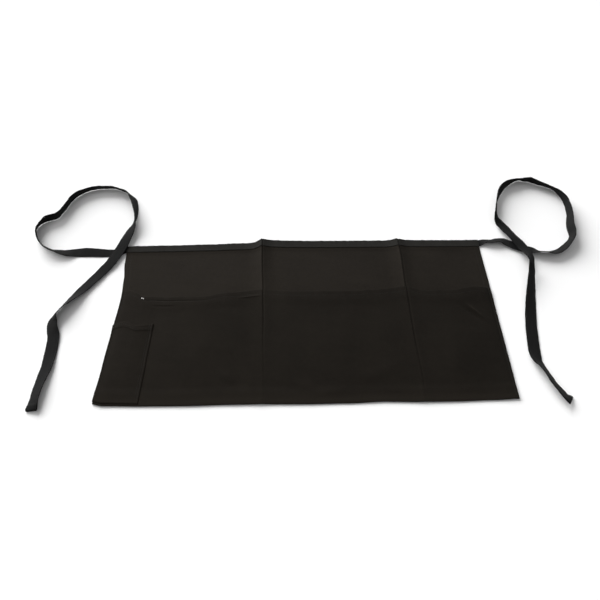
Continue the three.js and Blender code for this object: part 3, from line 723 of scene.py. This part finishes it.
def bandRowsAt(x):
    x = float(x)
    centre = topLine - insetOf(x)
    low = topLine - cloth["bandDepth"]
    ys = np.linspace(low, centre, 13)
    xs = np.full(len(ys), x)
    front = panelTop(xs, ys) + cloth["gap"] + layer / 2
    back = ridge(xs, ys) + relief(xs, ys) + layer / 2
    fromStitch = ys - (low + band["stitch"])
    front = front + sewn(fromStitch, 0.0001, 0.0009) + pucker(xs, fromStitch, 27) * 0.7
    gather = 1 + softWave(xs, (0.0085, 0.0127, 0.0196), 28)
    front = front + band["gather"] * gather * np.exp(-(((ys - centre) / 0.006) ** 2))
    radius = (front[-1] - back[-1]) / 2
    bend = [math.pi * k / 8 for k in range(1, 8)]
    bendY = [centre + radius * math.sin(a) for a in bend]
    bendZ = [back[-1] + radius * (1 + math.cos(a)) for a in bend]
    return np.concatenate([ys, bendY, ys[::-1]]), np.concatenate([front, bendZ, back[::-1]])


bandCreases = dense(-0.079, -0.070, 0.0008) + dense(0.158, 0.167, 0.0009)
bandXs = sorted(set(dense(-half, half, band["pitch"]) + bandCreases))
bandGrid, bandUv = gridOf(bandXs, bandRowsAt)
waistband = closedSheet("bandTape", bandGrid, bandUv, bandTapeLit, np.zeros(bandGrid.shape[:2]))
print("waistband", len(waistband.data.polygons), "faces")

# ---- each cloth piece rides on the root, and its part in model.glb is hidden
for piece, node, slot, held in (
    (skirtPanel, "skirt_panel", "twill", "laid"),
    (pocketFront, "pocket_front", "twill", "laid"),
    (pencilPocket, "pencil_pocket", "twill", "laid"),
    (waistband, "waistband", "tape", "folded"),
):
    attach(piece, "root")
    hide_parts(node)

# ---- stitches, laid along their seams by Geometry Nodes
stitches = {"pitch": 0.0031, "length": 0.0024, "width": 0.00046, "height": 0.00030, "jitter": 0.12}


def addSocket(tree, label, kind, way="INPUT"):
    tree.interface.new_socket(label, in_out=way, socket_type="NodeSocket" + kind)


def stitchTree():
    tree = bpy.data.node_groups.new("stitchRow", "GeometryNodeTree")
    addSocket(tree, "Geometry", "Geometry")
    for label in ("Pitch", "Length", "Width", "Height", "Jitter"):
        addSocket(tree, label, "Float")
    addSocket(tree, "Seed", "Int")
    addSocket(tree, "Material", "Material")
    addSocket(tree, "Geometry", "Geometry", "OUTPUT")
    new, link = tree.nodes.new, tree.links.new
    given, result = new("NodeGroupInput"), new("NodeGroupOutput")
    curve, spaced = new("GeometryNodeMeshToCurve"), new("GeometryNodeResampleCurve")
    spaced.mode = "LENGTH"
    tangent, faceUp = new("GeometryNodeInputTangent"), new("GeometryNodeInputNamedAttribute")
    faceUp.data_type = "FLOAT_VECTOR"
    faceUp.inputs["Name"].default_value = "faceUp"
    alongSeam, upright = new("FunctionNodeAlignRotationToVector"), new("FunctionNodeAlignRotationToVector")
    alongSeam.axis, upright.axis, upright.pivot_axis = "X", "Z", "X"
    ball, grown = new("GeometryNodeMeshUVSphere"), new("ShaderNodeCombineXYZ")
    ball.inputs["Segments"].default_value, ball.inputs["Rings"].default_value = 6, 4
    ball.inputs["Radius"].default_value = 0.5
    vary, spread = new("FunctionNodeRandomValue"), new("ShaderNodeMath")
    vary.data_type, spread.operation = "FLOAT", "SUBTRACT"
    spread.inputs[0].default_value = 1.0
    scaled = new("ShaderNodeVectorMath")
    scaled.operation = "SCALE"
    placed, smooth = new("GeometryNodeInstanceOnPoints"), new("GeometryNodeSetShadeSmooth")
    real, dressed = new("GeometryNodeRealizeInstances"), new("GeometryNodeSetMaterial")
    link(given.outputs["Geometry"], curve.inputs[0])
    link(curve.outputs[0], spaced.inputs["Curve"])
    link(given.outputs["Pitch"], spaced.inputs["Length"])
    link(tangent.outputs[0], alongSeam.inputs["Vector"])
    link(alongSeam.outputs[0], upright.inputs["Rotation"])
    link(faceUp.outputs["Attribute"], upright.inputs["Vector"])
    for axis, label in zip("XYZ", ("Length", "Width", "Height")):
        link(given.outputs[label], grown.inputs[axis])
    link(given.outputs["Jitter"], spread.inputs[1])
    link(spread.outputs[0], vary.inputs["Min"])
    vary.inputs["Max"].default_value = 1.0
    link(given.outputs["Seed"], vary.inputs["Seed"])
    link(grown.outputs[0], scaled.inputs[0])
    link(vary.outputs["Value"], scaled.inputs["Scale"])
    link(spaced.outputs[0], placed.inputs["Points"])
    link(ball.outputs["Mesh"], placed.inputs["Instance"])
    link(upright.outputs[0], placed.inputs["Rotation"])
    link(scaled.outputs[0], placed.inputs["Scale"])
    link(placed.outputs[0], smooth.inputs[0])
    link(smooth.outputs[0], real.inputs[0])
    link(real.outputs[0], dressed.inputs["Geometry"])
    link(given.outputs["Material"], dressed.inputs["Material"])
    link(dressed.outputs[0], result.inputs[0])
    return tree


rowTree = stitchTree()


def sewRows(name, rows, values, seed, material):
    # rows: each a list of points with the direction out of the cloth there
    points, edges, ups = [], [], []
    for line, up in rows:
        first = len(points)
        points += [tuple(p) for p in line]
        ups += [tuple(u) for u in up]
        edges += [(first + k, first + k + 1) for k in range(len(line) - 1)]
    guide = bpy.data.meshes.new(name)
    guide.from_pydata(points, edges, [])
    faceUp = guide.attributes.new("faceUp", "FLOAT_VECTOR", "POINT")
    faceUp.data.foreach_set("vector", np.array(ups, np.float32).ravel())
    host = addObject(name, guide)
    modifier = host.modifiers.new("stitchRow", "NODES")
    modifier.node_group = rowTree
    sockets = {item.name: item.identifier for item in rowTree.interface.items_tree if item.in_out == "INPUT"}
    for label in ("Pitch", "Length", "Width", "Height", "Jitter"):
        modifier[sockets[label]] = values[label.lower()]
    modifier[sockets["Seed"]] = seed
    modifier[sockets["Material"]] = material
    made = bpy.data.meshes.new_from_object(host.evaluated_get(bpy.context.evaluated_depsgraph_get()))
    host.modifiers.remove(modifier)
    made.name = name
    host.data = made
    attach(host, "root")
    print(name, len(made.polygons), "faces")


def gridRow(grid, pick, offset):
    # a seam along one line of a piece's own grid, offset out of its face
    up = facing(grid)[pick]
    up = up * np.where(up[:, 2] < 0, -1, 1)[:, None]
    return grid[pick] + up * offset, up


def nearest(values, wanted):
    return int(np.argmin(np.abs(values - wanted)))


def columnNear(uv, x):
    return nearest(uv[:, 0, 0], x)


skin = cloth["thickness"] / 2 - 0.00004
pencilSkin = 0.00036
bandYs = bandRowsAt(0.0)[0]
bandLine = nearest(bandYs[: len(bandYs) // 2], topLine - cloth["bandDepth"] + band["stitch"])
seamRows = [gridRow(bandGrid, (slice(2, -2), bandLine), skin)]
mouthLineRow = hemCount + 5 + nearest(downRows, pocket["stitchFromMouth"])
seamRows.append(gridRow(pocketGrid, (slice(3, -3), mouthLineRow), skin))
for side in (-1, 1):
    # side hem of the panel, above the pocket, and the pocket's own sewn side
    column = columnNear(panelUv, side * (half - panel["hemStitch"]))
    bibRows = np.nonzero(panelGrid[column, :, 1] > float(mouthLine(np.array(side * half))) + 0.004)[0]
    seamRows.append(gridRow(panelGrid, (column, slice(bibRows[0], bibRows[-1] - 12)), skin))
    column = columnNear(pocketUv, side * (half - pocket["sideStitch"]))
    seamRows.append(gridRow(pocketGrid, (column, slice(hemCount + 7, -14)), skin))
for fromTop in (pencil["stitch"], pencil["stitch"] - pencil["rowGap"]):
    pencilLine = pencilCount + 5 + nearest(pencilDown - pencilTop, fromTop)
    seamRows.append(gridRow(pencilGrid, (slice(2, -2), pencilLine), pencilSkin))
for inset in (pencil["seamStitch"], pencil["seamStitch"] + pencil["seamGap"]):
    column = columnNear(pencilUv, cloth["pencilWidth"] - half - inset)
    seamRows.append(gridRow(pencilGrid, (column, slice(pencilCount + 6, -3)), pencilSkin))
sewRows("apronStitches", seamRows, stitches, 5, threadBlack)
looseThread = {**stitches, "length": 0.0019, "width": 0.0030, "height": 0.0018}
threadColumn = columnNear(pocketUv, -0.267)
threadRow = gridRow(pocketGrid, (slice(threadColumn, threadColumn + 2), mouthLineRow - 4), skin)
sewRows("threadEnd", [threadRow], looseThread, 3, threadWhite)

tieRows = []
for middle, (edgeward, outward, reach, wall, travel) in ((leftMiddle, leftFrame), (rightMiddle, rightFrame)):
    for edge in (-1, 1):
        for face in (-1, 1):
            inset = reach - ties["stitchInset"]
            depth = wall / 2 - ties["groove"] - 0.00002
            line = middle + edgeward * (edge * inset)[:, None] + outward * (face * depth)[:, None]
            line[:, 2] = np.maximum(line[:, 2], 0.0002)
            tieRows.append((line[2:-3:2], (outward * face)[2:-3:2]))
sewRows("tieStitches", tieRows, {**stitches, "pitch": 0.0034}, 8, threadBlack)

# ---- materials
finish = {
    "bibDark": (0.0065, 0.0052, 0.0039), "bibLight": (0.0165, 0.0136, 0.0105),
    # the pocket's colours: a darker copy of the bib's twill, painted shade for the pocket front that faces away from
    # the back light
    "pocketDark": (0.0040, 0.0032, 0.0023), "pocketLight": (0.0120, 0.0097, 0.0072),
    "tapeDark": (0.0038, 0.0038, 0.0039), "tapeLight": (0.0096, 0.0095, 0.0093),
    # the band's colours: a lighter, warmer copy of the ties' tape, painted light for the flat band
    "bandDark": (0.0112, 0.0106, 0.0094), "bandLight": (0.0216, 0.0207, 0.0188),
    "thread": (0.012, 0.0115, 0.011), "looseThread": (0.75, 0.74, 0.72), "speckle": 300.0,
    "twillRib": 0.00062, "tapeRib": 0.00085,
}


def mathNode(tree, operation, first, second=None, third=None):
    node = tree.nodes.new("ShaderNodeMath")
    node.operation = operation
    for slot, value in zip(node.inputs, (first, second, third)):
        if value is None:
            continue
        if isinstance(value, (int, float)):
            slot.default_value = value
        else:
            tree.links.new(value, slot)
    return node.outputs[0]


def mixedColour(tree, share, dark, light):
    mix = tree.nodes.new("ShaderNodeMix")
    mix.data_type = "RGBA"
    mix.clamp_factor = True
    slots = {s.name: s for s in mix.inputs if s.type == "RGBA" or s.name == "Factor" and s.type == "VALUE"}
    slots["A"].default_value, slots["B"].default_value = (*dark, 1), (*light, 1)
    tree.links.new(share, slots["Factor"])
    return [s for s in mix.outputs if s.type == "RGBA"][0]


def noiseNode(tree, place, scale, detail):
    noise = tree.nodes.new("ShaderNodeTexNoise")
    noise.inputs["Scale"].default_value, noise.inputs["Detail"].default_value = scale, detail
    tree.links.new(place, noise.inputs["Vector"])
    return noise


def weaveGroup():
    # diagonal ribs of a twill, with the thread's own unevenness
    group = bpy.data.node_groups.new("twillWeave", "ShaderNodeTree")
    addSocket(group, "Place", "Vector")
    for label, way in (("Rib", "INPUT"), ("Slant", "INPUT"), ("Ribs", "OUTPUT"), ("Height", "OUTPUT")):
        addSocket(group, label, "Float", way)
    nodes, links = group.nodes, group.links
    given, result = nodes.new("NodeGroupInput"), nodes.new("NodeGroupOutput")
    split = nodes.new("ShaderNodeSeparateXYZ")
    links.new(given.outputs["Place"], split.inputs[0])
    slanted = mathNode(group, "MULTIPLY_ADD", split.outputs["Y"], given.outputs["Slant"], split.outputs["X"])
    turns = mathNode(group, "DIVIDE", slanted, given.outputs["Rib"])
    wave = mathNode(group, "SINE", mathNode(group, "MULTIPLY", turns, 2 * math.pi))
    ribs = mathNode(group, "MULTIPLY_ADD", wave, 0.5, 0.5)
    noise = noiseNode(group, given.outputs["Place"], 1400.0, 2.0)
    uneven = mathNode(group, "MULTIPLY_ADD", noise.outputs["Fac"], 0.6, 0.7)
    height = mathNode(group, "MULTIPLY", ribs, uneven)
    links.new(ribs, result.inputs["Ribs"])
    links.new(height, result.inputs["Height"])
    return group


def fadeGroup():
    # soft uneven fading, from broad patches down to a fine mottle
    group = bpy.data.node_groups.new("clothFade", "ShaderNodeTree")
    addSocket(group, "Place", "Vector")
    addSocket(group, "Patch", "Float")
    addSocket(group, "Fade", "Float", "OUTPUT")
    nodes, links = group.nodes, group.links
    given, result = nodes.new("NodeGroupInput"), nodes.new("NodeGroupOutput")
    broad = noiseNode(group, given.outputs["Place"], 14.0, 3.0)
    fine = noiseNode(group, given.outputs["Place"], 160.0, 2.0)
    links.new(given.outputs["Patch"], broad.inputs["Scale"])
    patches = mathNode(group, "MULTIPLY", broad.outputs["Fac"], 0.65)
    links.new(mathNode(group, "MULTIPLY_ADD", fine.outputs["Fac"], 0.35, patches), result.inputs["Fade"])
    return group


weave, fade = weaveGroup(), fadeGroup()


def patchNode(tree, patch):
    patches, place = tree.nodes.new("ShaderNodeGroup"), tree.nodes.new("ShaderNodeTexCoord")
    patches.node_tree = fade
    patches.inputs["Patch"].default_value = patch
    tree.links.new(place.outputs["Object"], patches.inputs["Place"])
    return patches.outputs["Fade"]


def clothMaterial(material, name, rib, slant, patch, wearAndLightGain, sheen, roughness, bump):
    material.use_nodes = True
    tree = material.node_tree
    nodes, links = tree.nodes, tree.links
    nodes.clear()
    shader, output = nodes.new("ShaderNodeBsdfPrincipled"), nodes.new("ShaderNodeOutputMaterial")
    place, wearAndLightShare, ribs = (nodes.new("ShaderNode" + kind) for kind in ("UVMap", "Attribute", "Group"))
    place.uv_map, wearAndLightShare.attribute_name, ribs.node_tree = "cut", "wearAndLight", weave
    ribs.inputs["Rib"].default_value, ribs.inputs["Slant"].default_value = finish[rib], slant
    links.new(place.outputs["UV"], ribs.inputs["Place"])
    share = mathNode(tree, "MULTIPLY_ADD", wearAndLightShare.outputs["Fac"], wearAndLightGain, patchNode(tree, patch))
    share = mathNode(tree, "MULTIPLY_ADD", ribs.outputs["Height"], 0.25, share)
    share = mathNode(tree, "SUBTRACT", share, 0.15)
    colour = mixedColour(tree, share, finish[name + "Dark"], finish[name + "Light"])
    links.new(colour, shader.inputs["Base Color"])
    rough = mathNode(tree, "MULTIPLY_ADD", ribs.outputs["Ribs"], 0.08, roughness)
    links.new(rough, shader.inputs["Roughness"])
    bumpNode = nodes.new("ShaderNodeBump")
    bumpNode.inputs["Strength"].default_value = 0.5
    bumpNode.inputs["Distance"].default_value = bump
    links.new(ribs.outputs["Height"], bumpNode.inputs["Height"])
    links.new(bumpNode.outputs[0], shader.inputs["Normal"])
    shader.inputs["Specular IOR Level"].default_value = 0.07
    shader.inputs["Sheen Weight"].default_value = sheen
    shader.inputs["Sheen Roughness"].default_value = 0.5
    links.new(shader.outputs[0], output.inputs[0])


# material, colours, rib, slant, patch size, gain of wear and painted light, sheen, roughness, depth of the weave
clothMaterial(twillBib, "bib", "twillRib", 1.0, 11.0, 0.45, 0.01, 0.9, 0.0001)
# the pocket's twill: a darker copy of the bib's, painted shade
clothMaterial(twillPocketShaded, "pocket", "twillRib", 1.0, 13.0, 0.7, 0.01, 0.9, 0.0001)
# the band's tape: a lighter copy of the ties' tape, painted light
clothMaterial(bandTapeLit, "band", "tapeRib", 0.0, 30.0, 0.1, 0.01, 0.88, 0.00012)
clothMaterial(tapeBlack, "tape", "tapeRib", 0.0, 30.0, 0.1, 0.02, 0.85, 0.00012)


def plainMaterial(material, colour, roughness):
    material.use_nodes = True
    tree = material.node_tree
    shader = tree.nodes["Principled BSDF"]
    dark, light = ([part * gain for part in colour] for gain in (0.7, 1.3))
    mixed = mixedColour(tree, patchNode(tree, finish["speckle"]), dark, light)
    tree.links.new(mixed, shader.inputs["Base Color"])
    shader.inputs["Roughness"].default_value = roughness
    shader.inputs["Specular IOR Level"].default_value = 0.15


plainMaterial(threadBlack, finish["thread"], 0.6)
plainMaterial(threadWhite, finish["looseThread"], 0.7)
print("materials made")

# ---- floor, light and world
studio = {
    "floorSize": 8.0, "floorDrop": 0.0002, "floorColour": (0.9, 0.9, 0.9), "skyStrength": 0.35,
    "sunStrength": 7.0, "sunAngle": 58, "sunFrom": (-0.55, 0.8, 0.36),
    "boxFrom": (-1.5, -0.1, 1.0), "boxPower": 5, "boxSize": 1.4,
}
floorMesh = bpy.data.meshes.new("studioFloor")
floorHalf = studio["floorSize"] / 2
corners = [(x * floorHalf, y * floorHalf, -studio["floorDrop"]) for x, y in ((-1, -1), (1, -1), (1, 1), (-1, 1))]
floorMesh.from_pydata(corners, [], [(0, 1, 2, 3)])
floor = addObject("studioFloor", floorMesh)
floorWhite = bpy.data.materials.new("floorWhite")
floorWhite.use_nodes = True
floorShader = floorWhite.node_tree.nodes["Principled BSDF"]
floorShader.inputs["Base Color"].default_value = (*studio["floorColour"], 1)
floorShader.inputs["Roughness"].default_value = 1.0
floorShader.inputs["Specular IOR Level"].default_value = 0.0
floorMesh.materials.append(floorWhite)


def makeLight(name, kind, energy, source):
    data = bpy.data.lights.new(name, kind)
    data.energy = energy
    light = addObject(name, data)
    light.location = source
    light.rotation_euler = Vector(source).to_track_quat("Z", "Y").to_euler()
    return data


sun = makeLight("backSun", "SUN", studio["sunStrength"], studio["sunFrom"])
sun.angle = math.radians(studio["sunAngle"])
box = makeLight("leftBox", "AREA", studio["boxPower"], studio["boxFrom"])
box.shape, box.size = "SQUARE", studio["boxSize"]

sky = bpy.data.worlds.new("sky")
sky.use_nodes = True
background = sky.node_tree.nodes["Background"]
background.inputs["Color"].default_value = (1, 1, 1, 1)
background.inputs["Strength"].default_value = studio["skyStrength"]
bpy.context.scene.world = sky
bpy.context.scene.view_settings.view_transform = "Standard"
print("studio lit")
